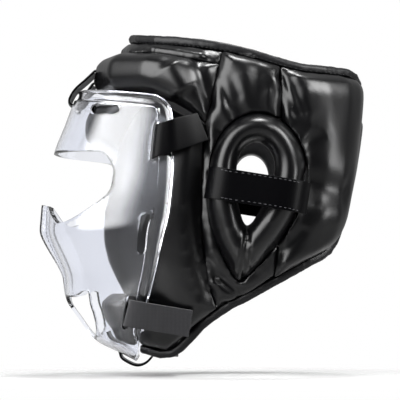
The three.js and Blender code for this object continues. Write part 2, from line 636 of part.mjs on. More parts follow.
add("forehead_panel", foreheadPanel, leather());
add("brow_pad", browPad, leather());
add("forehead_band", foreheadBand, leather());
add("chin_pad", chinPad, leather());
add("rear_closure", rearClosure, leather());
addPair("cheek_pad", cheekPad, leather);
addPair("side_panel", sidePanel, leather);
addPair("rear_panel", rearPanel, leather);
addPair("ear_ring", earRing, leather);
addPair("ear_strap", earStrap, leather);
add("top_binding", topBinding, edging());
addPair("bottom_binding", bottomBinding, edging);
add("face_shield", faceShield, clear());
add("top_strap", topStrap, leather());
addPair("temple_strap", templeStrap, leather);
addPair("jaw_strap", jawStrap, webbing);
add("chin_strap", chinStrap, leather());
add("chin_loop", chinLoop, leather());

export default headgear;
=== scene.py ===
# %% [markdown]
# # A boxing headgear with a clear face shield
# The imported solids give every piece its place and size. This lesson puts the real surfaces on them:
# padded leather panels, bound edges, straps, stitches and a moulded clear shield.

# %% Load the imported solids
import math

import bpy
import numpy as np
from mathutils import Matrix, Vector, noise
from mathutils.bvhtree import BVHTree
from mathutils.geometry import delaunay_2d_cdt


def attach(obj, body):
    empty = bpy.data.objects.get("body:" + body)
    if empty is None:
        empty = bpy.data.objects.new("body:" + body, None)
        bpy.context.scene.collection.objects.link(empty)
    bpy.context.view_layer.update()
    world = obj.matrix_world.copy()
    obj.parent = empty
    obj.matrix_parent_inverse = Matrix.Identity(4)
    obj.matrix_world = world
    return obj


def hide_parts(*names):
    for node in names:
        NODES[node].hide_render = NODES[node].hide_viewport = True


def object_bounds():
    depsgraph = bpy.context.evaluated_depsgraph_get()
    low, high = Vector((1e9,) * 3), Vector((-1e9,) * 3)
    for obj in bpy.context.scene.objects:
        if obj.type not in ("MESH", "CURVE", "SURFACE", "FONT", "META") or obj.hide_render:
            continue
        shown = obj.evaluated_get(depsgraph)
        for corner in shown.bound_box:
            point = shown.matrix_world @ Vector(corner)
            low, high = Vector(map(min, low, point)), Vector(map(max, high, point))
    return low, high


MM = 0.001
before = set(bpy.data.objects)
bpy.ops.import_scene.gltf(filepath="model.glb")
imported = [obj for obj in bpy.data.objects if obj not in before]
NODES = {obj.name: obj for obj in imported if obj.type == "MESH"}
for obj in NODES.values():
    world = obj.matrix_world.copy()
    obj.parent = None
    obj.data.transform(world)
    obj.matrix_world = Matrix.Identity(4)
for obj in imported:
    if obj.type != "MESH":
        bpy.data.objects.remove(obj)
cad_box = [list(corner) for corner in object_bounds()]
print("solids:", len(NODES), "box:", cad_box)

# %% [markdown]
# ## Camera
# The photograph is a side view of the left side from about two metres, a little below the middle.
# One of its pixels is 0.95 mm at the middle of the head, and that sets the focal length.

# %% Camera
PHOTO_SIZE = 400
PIXEL = 0.95 * MM
DISTANCE = 2.05
SENSOR = 36.0
AIM = Vector((-29.5 * MM, 0, -47.5 * MM))
EYE = Vector((AIM.x, -DISTANCE, -142.5 * MM))

bpy.ops.object.select_all(action="DESELECT")
bpy.ops.object.camera_add(location=EYE)
camera = bpy.context.object
camera.name = "photo_camera"
camera.rotation_euler = (AIM - EYE).to_track_quat("-Z", "Y").to_euler()
camera.data.sensor_width = SENSOR
camera.data.lens = SENSOR * DISTANCE / (PHOTO_SIZE * PIXEL)
bpy.context.scene.camera = camera
print("focal length:", round(camera.data.lens, 1))

# %% [markdown]
# ## Floor and light
# The headgear stands in white studio light just above a pale floor. The floor fades out at its edge, so
# no horizon shows. One very large lamp on the side of the face makes the white sheen of the shield and the
# broad highlights of the leather. A low one lights the jaw, two smaller ones pick out the back, and one
# above gives the shadow. All of them fade towards their edges, as a cloth-covered light box does. The world
# is white where it is looked at. As a reflection it is a grey wall behind the headgear, a pale table below
# it and a dark room in front, because black leather only shows what it reflects.


# %% Floor and light
class Wire:
    """One socket of a material, so that maths on it can be written as a sum."""

    def __init__(self, paint, socket):
        self.paint = paint
        self.socket = socket

    def maths(self, operation, first, second):
        return self.paint.node("ShaderNodeMath", {"operation": operation}, {0: first, 1: second})

    def __add__(self, other):
        return self.maths("ADD", self, other)

    def __sub__(self, other):
        return self.maths("SUBTRACT", self, other)

    def __rsub__(self, other):
        return self.maths("SUBTRACT", other, self)

    def __mul__(self, other):
        return self.maths("MULTIPLY", self, other)

    __radd__ = __add__
    __rmul__ = __mul__


class Paint:
    """A node tree with one method that adds any node."""

    def __init__(self, tree):
        self.tree = tree

    def node(self, kind, settings=None, sockets=None, out=0):
        made = self.tree.nodes.new(kind)
        for name, value in (settings or {}).items():
            setattr(made, name, value)
        for name, value in (sockets or {}).items():
            self.feed(made.inputs[name], value)
        return Wire(self, made.outputs[out])

    def feed(self, socket, value):
        if isinstance(value, Wire):
            self.tree.links.new(value.socket, socket)
        else:
            socket.default_value = value

    def places(self):
        return self.node("ShaderNodeTexCoord", out="Object")

    def part_of(self, vector, axis):
        return self.node("ShaderNodeSeparateXYZ", sockets={0: vector}, out=axis)

    def speckle(self, scale, detail):
        sockets = {"Vector": self.places(), "Scale": scale, "Detail": detail}
        return self.node("ShaderNodeTexNoise", sockets=sockets)

    def blend(self, share, first, second):
        return self.node("ShaderNodeMix", {"data_type": "RGBA"}, {0: share, 6: first, 7: second}, out=2)

    def ramp(self, value, source, target):
        """A value taken smoothly from one range to another."""
        sockets = {"Value": value, "From Min": source[0], "From Max": source[1]}
        sockets |= {"To Min": target[0], "To Max": target[1]}
        return self.node("ShaderNodeMapRange", {"interpolation_type": "SMOOTHSTEP"}, sockets)

    def bump(self, height, distance, strength, under=None):
        sockets = {"Height": height, "Distance": distance, "Strength": strength}
        if under:
            sockets["Normal"] = under
        return self.node("ShaderNodeBump", sockets=sockets)


def finish(name, **values):
    """A new material, with constants set on its main shader."""
    material = bpy.data.materials.new(name)
    material.use_nodes = True
    paint = Paint(material.node_tree)
    shader = material.node_tree.nodes["Principled BSDF"]
    for socket, value in values.items():
        shader.inputs[socket.replace("_", " ")].default_value = value
    return material, paint, shader


FLOOR_DROP = 9 * MM  # the gap below the lowest point
FLOOR_REACH = 0.34
FLOOR_FADE = 0.35  # share of the reach where the floor starts to fade
FLOOR_GREY = (0.37, 0.37, 0.37, 1)


def floor_material():
    material, paint, shader = finish(
        "pale_floor", Base_Color=FLOOR_GREY, Roughness=0.7, Specular_IOR_Level=0.0
    )
    length = {"operation": "LENGTH"}
    from_middle = paint.node("ShaderNodeVectorMath", length, {0: paint.places()}, out="Value")
    shown = paint.ramp(from_middle, (FLOOR_FADE * FLOOR_REACH, FLOOR_REACH), (0.9, 0.0))
    paint.feed(shader.inputs["Alpha"], shown)
    return material


bpy.ops.mesh.primitive_circle_add(vertices=96, radius=FLOOR_REACH, fill_type="NGON")
floor = bpy.context.object
floor.name = "floor"
floor.location = (AIM.x, 0, cad_box[0][2] - FLOOR_DROP)
floor.data.materials.append(floor_material())


def soft_lamp(name, place, size, power, fade):
    """A soft box: an area lamp that fades over a share of its width and height at each edge."""
    bpy.ops.object.select_all(action="DESELECT")
    bpy.ops.object.light_add(type="AREA", location=place)
    lamp = bpy.context.object
    lamp.name = name
    lamp.rotation_euler = (AIM - Vector(place)).to_track_quat("-Z", "Y").to_euler()
    lamp.data.shape = "RECTANGLE"
    lamp.data.size, lamp.data.size_y = size
    lamp.data.energy = power
    lamp.data.use_nodes = True
    paint = Paint(lamp.data.node_tree)
    place_on_lamp = paint.node("ShaderNodeNewGeometry", out="Parametric")
    strength = 1.0
    for axis, reach in zip("XY", fade):
        along = paint.part_of(place_on_lamp, axis)
        from_edge = along.maths("MINIMUM", along, 1 - along)
        strength = strength * paint.ramp(from_edge, (0.0, reach), (0.0, 1.0))
    paint.feed(lamp.data.node_tree.nodes["Emission"].inputs["Strength"], strength)


soft_lamp("lamp_face", place=(-1.26, -0.985, 0.65), size=(2.9, 2.4), power=238, fade=(0.33, 0.2))
soft_lamp("lamp_low", place=(-0.75, -0.95, -0.85), size=(1.2, 0.5), power=9, fade=(0.4, 0.5))
soft_lamp("lamp_back", place=(1.35, -0.6, -0.05), size=(0.8, 0.5), power=32, fade=(0.5, 0.5))
soft_lamp("lamp_crown", place=(1.22, -0.72, 0.88), size=(1.6, 0.95), power=125, fade=(0.38, 0.35))
soft_lamp("lamp_above", place=(0.25, 0.05, 1.75), size=(0.7, 0.7), power=80, fade=(0.3, 0.3))


def studio_world(seen, room, wall, table):
    """Brightness of the world where it is looked at, and of what it shows as a reflection."""
    world = bpy.data.worlds.new("studio")
    world.use_nodes = True
    bpy.context.scene.world = world
    paint = Paint(world.node_tree)
    straight = paint.node("ShaderNodeLightPath", out="Is Camera Ray")
    through = paint.node("ShaderNodeLightPath", out="Is Transmission Ray")
    looked_at = straight + through
    direction = paint.node("ShaderNodeTexCoord", out="Generated")
    behind = paint.ramp(paint.part_of(direction, "Y"), (-0.1, 0.5), (room, wall))
    below = paint.ramp(paint.part_of(direction, "Z"), (-0.45, -0.15), (table, 0.0))
    reflected = behind + below
    strength = looked_at * (seen - reflected) + reflected
    background = world.node_tree.nodes["Background"]
    paint.feed(background.inputs["Color"], (1, 1, 1, 1))
    paint.feed(background.inputs["Strength"], strength)


studio_world(seen=1.0, room=0.01, wall=0.4, table=0.8)
bpy.context.scene.view_settings.view_transform = "Standard"

# %% [markdown]
# ## Finishes
# The leather is a smooth black polyurethane: nearly black, with a soft gloss, a fine pebbled grain and a
# little change of gloss from handling. The bound edges are the same leather folded thin, a little lighter
# and duller, and the straps are duller still. The jaw straps are woven nylon, the inside is a thin lining,
# and the shield is clear with a faint violet tint.


# %% Finishes
def leather(name, colour, roughness, grain, gloss=0.3):
    """Leather with a grain so many millimetres deep, worn a little lighter in patches."""
    material, paint, shader = finish(name, Specular_IOR_Level=gloss)
    patches = paint.speckle(scale=24, detail=3)
    worn = tuple(1.7 * c for c in colour[:3]) + (1,)
    paint.feed(shader.inputs["Base Color"], paint.blend(patches * 0.6, colour, worn))
    paint.feed(shader.inputs["Roughness"], patches * 0.10 + (roughness - 0.05))
    grid = {"Vector": paint.places(), "Scale": 850.0, "Smoothness": 0.6}
    pebbles = paint.node("ShaderNodeTexVoronoi", {"feature": "SMOOTH_F1"}, grid)
    broad = paint.bump(paint.speckle(scale=60, detail=2), 0.6 * MM, 0.12)
    paint.feed(shader.inputs["Normal"], paint.bump(pebbles, grain * MM, 0.5, broad))
    return material


def webbing(name, dark, light):
    """Woven nylon: ribs one way and rows the other."""
    material, paint, shader = finish(name, Roughness=0.78, Sheen_Weight=0.15, Specular_IOR_Level=0.3)
    spacing = {"Vector": paint.places(), "Scale": 260.0, "Distortion": 0.0}
    ribs = paint.node("ShaderNodeTexWave", {"bands_direction": "X"}, spacing)
    rows = paint.node("ShaderNodeTexWave", {"bands_direction": "Z"}, spacing)
    weave = ribs * rows
    paint.feed(shader.inputs["Base Color"], paint.blend(weave, dark, light))
    paint.feed(shader.inputs["Normal"], paint.bump(weave, 0.25 * MM, 0.6))
    return material


def lining(name, dark, light):
    material, paint, shader = finish(name, Roughness=0.7, Specular_IOR_Level=0.3)
    threads = paint.speckle(scale=900, detail=1)
    paint.feed(shader.inputs["Base Color"], paint.blend(threads, dark, light))
    paint.feed(shader.inputs["Normal"], paint.bump(threads, 0.2 * MM, 0.5))
    return material


def clear_plastic(name, tint):
    material, paint, shader = finish(name, Base_Color=tint, Transmission_Weight=1.0, IOR=1.5)
    haze = paint.speckle(scale=30, detail=3)
    paint.feed(shader.inputs["Roughness"], haze * 0.03 + 0.015)
    return material


LEATHER = leather("black_leather", (0.0003, 0.0003, 0.0005, 1), roughness=0.30, grain=0.06)
STRAP = leather("strap_leather", (0.0004, 0.0004, 0.0006, 1), roughness=0.36, grain=0.06, gloss=0.06)
BINDING = leather("binding_leather", (0.0016, 0.0016, 0.0020, 1), roughness=0.42, grain=0.14, gloss=0.2)
WEBBING = webbing("nylon_webbing", dark=(0.004, 0.004, 0.0052, 1), light=(0.010, 0.010, 0.0125, 1))
LINING = lining("lining_cloth", dark=(0.003, 0.003, 0.0035, 1), light=(0.008, 0.008, 0.009, 1))
THREAD = leather("black_thread", (0.0015, 0.0015, 0.0017, 1), roughness=0.6, grain=0.05)
STRAP_THREAD = leather("grey_thread", (0.016, 0.016, 0.018, 1), roughness=0.5, grain=0.05)
CLEAR = clear_plastic("clear_plastic", tint=(0.89, 0.905, 0.955, 1))
FINISHES = (LEATHER, STRAP, BINDING, WEBBING, LINING, THREAD, STRAP_THREAD, CLEAR)
print("finishes:", [material.name for material in FINISHES])

# %% [markdown]
# ## Helpers for all pieces
# An operator acts on what is selected, so each step selects one object alone. Points are read and written
# as one array, because that is quick enough for fine meshes. The left and right pieces mirror each other,
# so the right one is made from the mesh of the left one.


# %% Helpers
def only(piece):
    if bpy.context.object and bpy.context.object.mode != "OBJECT":
        bpy.ops.object.mode_set(mode="OBJECT")
    bpy.ops.object.select_all(action="DESELECT")
    piece.select_set(True)
    bpy.context.view_layer.objects.active = piece
    return piece


def edit(piece, *steps):
    """Runs edit-mode operators on all of a piece. A step is an operator and its options."""
    only(piece)
    bpy.ops.object.mode_set(mode="EDIT")
    bpy.ops.mesh.select_all(action="SELECT")
    for operator, options in steps:
        operator(**options)
    bpy.ops.object.mode_set(mode="OBJECT")


def points(piece):
    flat = np.zeros(len(piece.data.vertices) * 3, np.float32)
    piece.data.vertices.foreach_get("co", flat)
    return flat.reshape(-1, 3).astype(float)


def normals(piece):
    flat = np.zeros(len(piece.data.vertices) * 3, np.float32)
    piece.data.vertices.foreach_get("normal", flat)
    return flat.reshape(-1, 3).astype(float)


def move_points(piece, places):
    piece.data.vertices.foreach_set("co", places.astype(np.float32).ravel())
    piece.data.update()


def modify(piece, kind, **settings):
    """Adds a modifier, sets it and applies it."""
    only(piece)
    modifier = piece.modifiers.new(kind.lower(), kind)
    for name, value in settings.items():
        setattr(modifier, name, value)
    bpy.ops.object.modifier_apply(modifier=modifier.name)


def new_piece(name, mesh):
    piece = bpy.data.objects.new(name, mesh)
    bpy.context.scene.collection.objects.link(piece)
    return piece


def copy_of(node, name):
    """A new piece with its own copy of a solid's mesh, its points merged."""
    piece = new_piece(name, NODES[node].data.copy())
    piece.data.materials.clear()
    edit(piece, (bpy.ops.mesh.remove_doubles, {"threshold": 0.01 * MM}))
    return piece


def to_quads(piece):
    """Joins the triangles of a solid in pairs, so that a subdivision runs evenly."""
    any_angle = {"face_threshold": math.pi, "shape_threshold": math.pi}
    edit(piece, (bpy.ops.mesh.tris_convert_to_quads, any_angle))


def shade_smooth(piece):
    piece.data.polygons.foreach_set("use_smooth", np.ones(len(piece.data.polygons), bool))


def place_piece(piece, node):
    """Hangs a piece under the root body and hides the solid it stands for, if any."""
    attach(piece, "root")
    if node:
        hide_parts(node)


def other_side(piece, name, node):
    """The right-hand copy of a left-hand piece, mirrored across the middle."""
    copy = new_piece(name, piece.data.copy())
    copy.data.transform(Matrix.Scale(-1, 4, (0, 1, 0)))
    copy.data.flip_normals()
    place_piece(copy, node)
    return copy


def smoothstep(values, low, high):
    share = np.clip((values - low) / (high - low), 0, 1)
    return share * share * (3 - 2 * share)


def triangles(pieces):
    return sum(len(polygon.vertices) - 2 for piece in pieces for polygon in piece.data.polygons)


def tree_of(nodes):
    """A search tree over the surfaces of several solids."""
    corners, faces = [], []
    for node in nodes:
        mesh = NODES[node].data
        start = len(corners)
        corners += [vertex.co.copy() for vertex in mesh.vertices]
        faces += [[start + k for k in polygon.vertices] for polygon in mesh.polygons]
    return BVHTree.FromPolygons(corners, faces)


def nearest(tree, places):
    """For each place, the nearest point of the surfaces in a tree, and how far it is."""
    found = [tree.find_nearest(Vector(place)) for place in places]
    return np.array([hit[0] for hit in found]), np.array([hit[3] for hit in found])


print("helpers ready")

# %% [markdown]
# ## Padded panels
# Each panel is foam in a leather skin, sewn to its neighbours. A copy of the solid is remeshed, its faces
# are smoothed, and a short cloth simulation with air pressure swells the skin between its seams, which are
# held. The seams then get the small puckers that thread pulls into leather: a ripple that runs along the
# seam and fades into the panel. Long folds are pressed in where the photograph shows them, and where it
# shows a full roll the skin swells out instead.

# %% Seams and folds
VOXEL = 3.0 * MM
HEAD_MIDDLE = Vector((5 * MM, 0, 0))
SMOOTHING = 14  # passes over the remeshed skin
HELD_BAND = (1.5 * MM, 7 * MM)  # from a seam, where the skin goes from held to free
SEAM_REACH = 9 * MM  # how far puckers run into a panel
PUCKER_SIZE = 6 * MM
SEAM_CLOSING = {"move": 0.65 * MM, "reach": 2 * MM}  # makes neighbours touch at their seam
FOLD_BAND = (20 * MM, 40 * MM)  # from the middle plane, where folds set in
FOLD_FADE = 5 * MM  # how softly a fold ends
RIDGE_PLACE = 1.8  # widths from the valley of a fold to the ridge beside it
ROLL_LOSS = 1.6 * MM  # what a subdivision takes off a roll
SIM_FRAMES = 20
PRESSURE = 4


def fold(start, end, deep, wide, ridge=0.0):
    """A fold in millimetres: its line from the side, its depth, its width and the share of its ridge."""
    start, end = np.array(start) * MM, np.array(end) * MM
    return {"start": start, "end": end, "deep": deep, "wide": wide, "ridge": ridge}


REAR_FOLDS = [
    fold((44, 60), (57, 27), deep=2.0, wide=3.6, ridge=0.6),
    fold((53, 61), (64, 29), deep=1.6, wide=4.4, ridge=0.5),
    fold((64, -80), (48, -98), deep=1.2, wide=5.0, ridge=0.4),
]
REAR_WAIST = fold((68, -36), (104, -44), deep=3.4, wide=14, ridge=0.2)
SIDE_FOLDS = [
    fold((-10, 56), (-4, 36), deep=1.0, wide=3.6, ridge=0.3),
    fold((-1, 60), (6, 44), deep=0.8, wide=4.0, ridge=0.3),
    fold((-18.5, -106), (-11, -123), deep=2.0, wide=4.5, ridge=0.6),
    fold((-11, -123), (6, -136), deep=2.0, wide=4.5, ridge=0.6),
]
EAR_PLEATS = [
    fold((13, -80), (10.5, -120), deep=2.4, wide=2.0, ridge=0.2),
    fold((11, -88), (6, -114), deep=1.2, wide=1.8, ridge=0.5),
    fold((15, -88), (17, -110), deep=1.2, wide=1.8, ridge=0.5),
]
BROW_VALLEY = fold((-31, 72), (-20, 34), deep=2.2, wide=5.0, ridge=0.2)
SWELLINGS = [
    fold((-57, 67), (-47, 50), deep=-5.0, wide=12),
    fold((-72, 88.5), (-30, 80), deep=-3.0, wide=4.5),
    fold((-5, 78), (-19, 20), deep=-1.0, wide=8),
    fold((-22, -40), (-15, -125), deep=-2.0, wide=7),
]
FOLDS = [*REAR_FOLDS, REAR_WAIST, *SIDE_FOLDS, *EAR_PLEATS, BROW_VALLEY, *SWELLINGS]


def bell(values):
    return np.exp(-(values**2))


def fold_move(places):
    """How far all the folds move each place out along its normal."""
    move = np.zeros(len(places))
    for line in FOLDS:
        along = line["end"] - line["start"]
        flat = places[:, [0, 2]] - line["start"]
        share = flat @ along / (along @ along)
        length = np.linalg.norm(along)
        side = (flat[:, 0] * along[1] - flat[:, 1] * along[0]) / length
        past_end = np.maximum(np.abs(share - 0.5) - 0.5, 0) * length
        widths = side / (line["wide"] * MM)
        ridge = line["ridge"] * bell(widths - RIDGE_PLACE)
        move += line["deep"] * MM * bell(past_end / FOLD_FADE) * (ridge - bell(widths))
    return move


def ripples(places, size):
    """Smooth noise between -1 and 1. On the nearest places of a seam it only changes along the seam."""
    return np.array([noise.noise(Vector(place) / size) for place in places])


def outward(places):
    """The flat direction away from the upright axis of the head."""
    away = places - np.array(HEAD_MIDDLE)
    away[:, 2] = 0
    return away / np.linalg.norm(away, axis=1, keepdims=True)


def facing_out(directions, places):
    """How far directions at places point away from the head: 1 straight out, -1 straight in."""
    return np.sum(directions * outward(places), axis=1)


def weigh(piece, name, weights):
    """Puts weights on the points of a piece and gives the name of the group that holds them."""
    group = piece.vertex_groups.new(name=name)
    for k, weight in enumerate(weights):
        group.add([k], float(weight), "REPLACE")
    return group.name


def swell(piece, held, cap):
    """Blows the skin up like a cushion between its held points, and limits how far it moves."""
    before = points(piece)
    only(piece)
    cloth = piece.modifiers.new("swell", "CLOTH")
    cloth.settings.use_pressure = True
    cloth.settings.uniform_pressure_force = PRESSURE
    cloth.settings.effector_weights.gravity = 0
    cloth.settings.vertex_group_mass = held
    cloth.point_cache.frame_end = SIM_FRAMES
    for step in range(1, SIM_FRAMES + 1):
        bpy.context.scene.frame_set(step)
    bpy.ops.object.modifier_apply(modifier=cloth.name)
    bpy.context.scene.frame_set(1)
    move = points(piece) - before
    length = np.maximum(np.linalg.norm(move, axis=1, keepdims=True), 1e-9)
    move_points(piece, before + move * np.minimum(1, cap / length))


MIDDLE_PADS = ["forehead_panel", "brow_pad", "forehead_band", "chin_pad", "rear_closure"]
SIDE_PADS = ["cheek_pad", "side_panel", "rear_panel", "ear_ring"]
SEWN = (*MIDDLE_PADS, *SIDE_PADS, "top_binding", "bottom_binding")
SEWN_NODES = [node for node in NODES if node.startswith(SEWN)]


def remeshed(node, name, rounding):
    """A copy of a solid with an even skin. Rounding first makes a faceted roll round."""
    pad = copy_of(node, name)
    if rounding:
        to_quads(pad)
        modify(pad, "SUBSURF", levels=rounding, render_levels=rounding)
        move_points(pad, points(pad) + normals(pad) * ROLL_LOSS)
    pad.data.remesh_voxel_size = VOXEL
    bpy.ops.object.voxel_remesh()
    return pad


def shape_skin(pad, seams, ripple):
    """Closes the seams, and presses puckers and folds into the side that shows."""
    places, facing = points(pad), normals(pad)
    seam_places, gap = nearest(seams, places)
    shown = smoothstep(facing_out(facing, places), -0.2, 0.3)
    puckers = ripple * bell(gap / SEAM_REACH) * ripples(seam_places, PUCKER_SIZE)
    folds = fold_move(places) * smoothstep(np.abs(places[:, 1]), *FOLD_BAND)
    closed = SEAM_CLOSING["move"] * bell(gap / SEAM_CLOSING["reach"])
    move = closed + shown * (puckers + folds)
    move_points(pad, places + facing * move[:, None])


def dress(pad):
    """Leather outside, lining on the faces that look at the head."""
    pad.data.materials.append(LEATHER)
    pad.data.materials.append(LINING)
    centres = np.array([polygon.center for polygon in pad.data.polygons])
    facing = np.array([polygon.normal for polygon in pad.data.polygons])
    lined = facing_out(facing, centres) < -0.55
    pad.data.polygons.foreach_set("material_index", lined.astype(np.int32))
    shade_smooth(pad)


def padded_panel(node, name, ripple=0.4 * MM, cap=2.5 * MM, rounding=0):
    """A swollen leather panel with puckered seams, in the place of one solid."""
    pad = remeshed(node, name, rounding)
    seams = tree_of([other for other in SEWN_NODES if other != node])
    free = smoothstep(nearest(seams, points(pad))[1], *HELD_BAND)
    modify(pad, "SMOOTH", vertex_group=weigh(pad, "free", free), factor=0.5, iterations=SMOOTHING)
    hidden = facing_out(normals(pad), points(pad)) < 0.1
    held = np.where(hidden, 1.0, 1 - smoothstep(free, 0.3, 1.0))
    swell(pad, weigh(pad, "held", held), cap)
    modify(pad, "SUBSURF", levels=1, render_levels=1)
    shape_skin(pad, seams, ripple)
    pad.vertex_groups.clear()
    dress(pad)
    place_piece(pad, node)
    return pad


print("folds and swellings:", len(FOLDS))

# %% Panels
SPECIAL = {"side_panel": {"ripple": 0.2 * MM, "cap": 0.8 * MM}, "ear_ring": {"rounding": 2}}

panels = [padded_panel(node, f"{node}_padded") for node in MIDDLE_PADS]
for part in SIDE_PADS:
    left = padded_panel(f"{part}_left", f"{part}_left_padded", **SPECIAL.get(part, {}))
    right = other_side(left, f"{part}_right_padded", f"{part}_right")
    panels += [left, right]
print("panels:", len(panels), "triangles:", triangles(panels))

# %% [markdown]
# ## Bound edges
# The rims are finished with a strip of thin leather folded over the edge and sewn through. The strip is a
# bit too long for the curve, so it puckers. A fine remesh of the solid is rounded off and rippled along its
# length.

# %% Bound edges
EDGE_VOXEL = 1.6 * MM
EDGE_GROWTH = 0.2 * MM  # makes up for what the smoothing takes off
EDGE_RIPPLE = {"high": 0.3 * MM, "size": 7 * MM}
EDGE_PLEAT = {"high": 0.25 * MM, "size": 4 * MM, "tall": 3.5}  # tall: how many times taller than wide


def bound_edge(node, name):
    """A binding with soft ripples and short upright pleats."""
    edge = copy_of(node, name)
    edge.data.remesh_voxel_size = EDGE_VOXEL
    bpy.ops.object.voxel_remesh()
    modify(edge, "SMOOTH", factor=0.5, iterations=2)
    places, facing = points(edge), normals(edge)
    move = EDGE_GROWTH + EDGE_RIPPLE["high"] * ripples(places, EDGE_RIPPLE["size"])
    upright = places / np.array([1, 1, EDGE_PLEAT["tall"]])
    move += EDGE_PLEAT["high"] * ripples(upright, EDGE_PLEAT["size"])
    move_points(edge, places + facing * move[:, None])
    shade_smooth(edge)
    edge.data.materials.append(BINDING)
    place_piece(edge, node)
    return edge


top_edge = bound_edge("top_binding", "top_binding_sewn")
left_edge = bound_edge("bottom_binding_left", "bottom_binding_left_sewn")
right_edge = other_side(left_edge, "bottom_binding_right_sewn", "bottom_binding_right")
print("bound edges, triangles:", triangles([top_edge, left_edge, right_edge]))

# %% [markdown]
# ## Straps
# The straps are flat, so their solids already have the right run. A copy gets rounded edges by a bevel and
# a smooth run by a subdivision. The jaw straps are webbing, the others leather.


# %% Straps
def round_edges(piece, width, sharper_than):
    """Bevels the edges that turn by more than so many degrees."""
    turn = math.radians(sharper_than)
    modify(piece, "BEVEL", width=width, segments=2, limit_method="ANGLE", angle_limit=turn)


def strap(node, name, material):
    band = copy_of(node, name)
    to_quads(band)
    round_edges(band, width=0.5 * MM, sharper_than=60)
    modify(band, "SUBSURF", levels=2, render_levels=2)
    shade_smooth(band)
    band.data.materials.append(material)
    place_piece(band, node)
    return band


MIDDLE_STRAPS = ("top_strap", "chin_strap", "chin_loop")
SIDE_STRAPS = {
    "ear_strap": (STRAP, "leather"),
    "temple_strap": (STRAP, "leather"),
    "jaw_strap": (WEBBING, "webbing"),
}

bands = [strap(node, f"{node}_sewn", STRAP) for node in MIDDLE_STRAPS]
for part, (material, slot) in SIDE_STRAPS.items():
    left = strap(f"{part}_left", f"{part}_left_sewn", material)
    right = other_side(left, f"{part}_right_sewn", f"{part}_right")
    bands += [left, right]
print("straps:", len(bands), "triangles:", triangles(bands))

# %% [markdown]
# ## Shield
# The shield is one moulded sheet. It is laid out flat first, as a map of share round the face by height,
# with the outlines of all its openings in it. The map is filled with triangles, bent to the moulded form,
# given its wall and rounded at every edge. A rounded bead runs along its top and rear edges. It is made
# from sizes in millimetres and not from the solid, because clear plastic would show every facet.

# %% Shield form
# Outer face, one row for each height. ridge is how far the nose rib stands out.
SHIELD_LEVELS = [
    {"z": -200, "front": -88, "back": -85, "half": 62, "ridge": 0},
    {"z": -192, "front": -105, "back": -85.5, "half": 66, "ridge": 0},
    {"z": -181, "front": -127, "back": -85, "half": 71, "ridge": 0},
    {"z": -159, "front": -145, "back": -81, "half": 80, "ridge": 0},
    {"z": -142, "front": -156, "back": -78, "half": 86, "ridge": 0},
    {"z": -118, "front": -158, "back": -72, "half": 93, "ridge": 3},
    {"z": -82, "front": -173.5, "back": -64, "half": 100, "ridge": 7},
    {"z": -68, "front": -174, "back": -60, "half": 102, "ridge": 7},
    {"z": -34, "front": -172, "back": -56, "half": 105, "ridge": 5},
    {"z": -4, "front": -168, "back": -55, "half": 106, "ridge": 0},
    {"z": 22, "front": -158, "back": -56, "half": 106, "ridge": 0},
    {"z": 43, "front": -150, "back": -61, "half": 104, "ridge": 0},
    {"z": 60, "front": -142, "back": -68, "half": 101, "ridge": 0},
]
SHIELD_WALL = 3
SHIELD_BEAD = {"high": 2.2, "wide": 8, "from": -172}
SHIELD_PLAN = 2.2  # how square the plan is: 2 is an ellipse
SHIELD_RIB = (6.5, 14)  # from the middle, where the nose rib starts to fade and where it is gone
SHIELD_EDGE = {"front": 53.5, "temple": 40.5, "foot": -199.5, "jaw_lift": 9}
SHIELD_CORNERS = {"top": 11, "foot": 9}
TOP_FALL = 1.4  # power with which the top edge falls towards the temple
FOOT_LIFT = 3  # power with which the foot rises towards the jaw
AROUND = 150  # length on the map from the nose to the rear edge
EYE_OPENING = [
    (-124, -6), (-115, -10), (-110, -18), (-108, -27), (-108.5, -37), (-114, -47), (-128, -57),
    (-145, -67), (-157, -71.5), (-163, -70), (-169, -60), (-175, -53.5),
]
EYE_MIDDLE = {"top": -4, "bottom": -52}
MOUTH_VENT = [(-145.5, -139.7), (-136, -133), (-130.5, -136), (-126, -160), (-124.5, -174), (-128, -179.5)]
MOUTH_BAR = 14
SIDE_SLOTS = [
    {"x": -70.7, "z": 0, "long": 37, "wide": 5.6, "lean": 6},
    {"x": -80.5, "z": -82.5, "long": 37, "wide": 9, "lean": 7.6},
    {"x": -95, "z": -154, "long": 32, "wide": 6, "lean": 13.6},
    {"x": -116, "z": 31.5, "long": 26, "wide": 8.5, "lean": 93},
]
FRONT_SLOT = {"z": 41, "wide": 46, "tall": 6}
CHIN_SLOT = {"z": -190.8, "wide": 42, "tall": 3.6}


def level_at(column, z):
    """A smooth curve through one column of the table of heights."""
    heights = np.array([row["z"] for row in SHIELD_LEVELS])
    values = np.array([row[column] for row in SHIELD_LEVELS])
    rows = np.arange(len(heights))
    after = np.minimum(rows + 1, rows[-1])
    before = np.maximum(rows - 1, 0)
    slopes = (values[after] - values[before]) / (heights[after] - heights[before])
    z = np.clip(z, heights[0], heights[-1])
    k = np.clip(np.searchsorted(heights, z) - 1, 0, len(heights) - 2)
    span = heights[k + 1] - heights[k]
    t = (z - heights[k]) / span
    ends = values[k] * (2 * t**3 - 3 * t**2 + 1) + values[k + 1] * (3 * t**2 - 2 * t**3)
    return ends + span * (slopes[k] * (t**3 - 2 * t**2 + t) + slopes[k + 1] * (t**3 - t**2))


def shield_points(share, z):
    """The outer face at shares of the way from the nose to the rear edge, in millimetres."""
    angle = share * math.pi / 2
    power = 2 / SHIELD_PLAN
    front, back = level_at("front", z), level_at("back", z)
    y = -level_at("half", z) * np.sign(angle) * np.abs(np.sin(angle)) ** power
    x = back + (front - back) * np.maximum(np.cos(angle), 0) ** power
    rib = 1 - smoothstep(np.abs(y), *SHIELD_RIB)
    return np.stack([x - level_at("ridge", z) * rib, y, z + 0 * share], axis=-1)


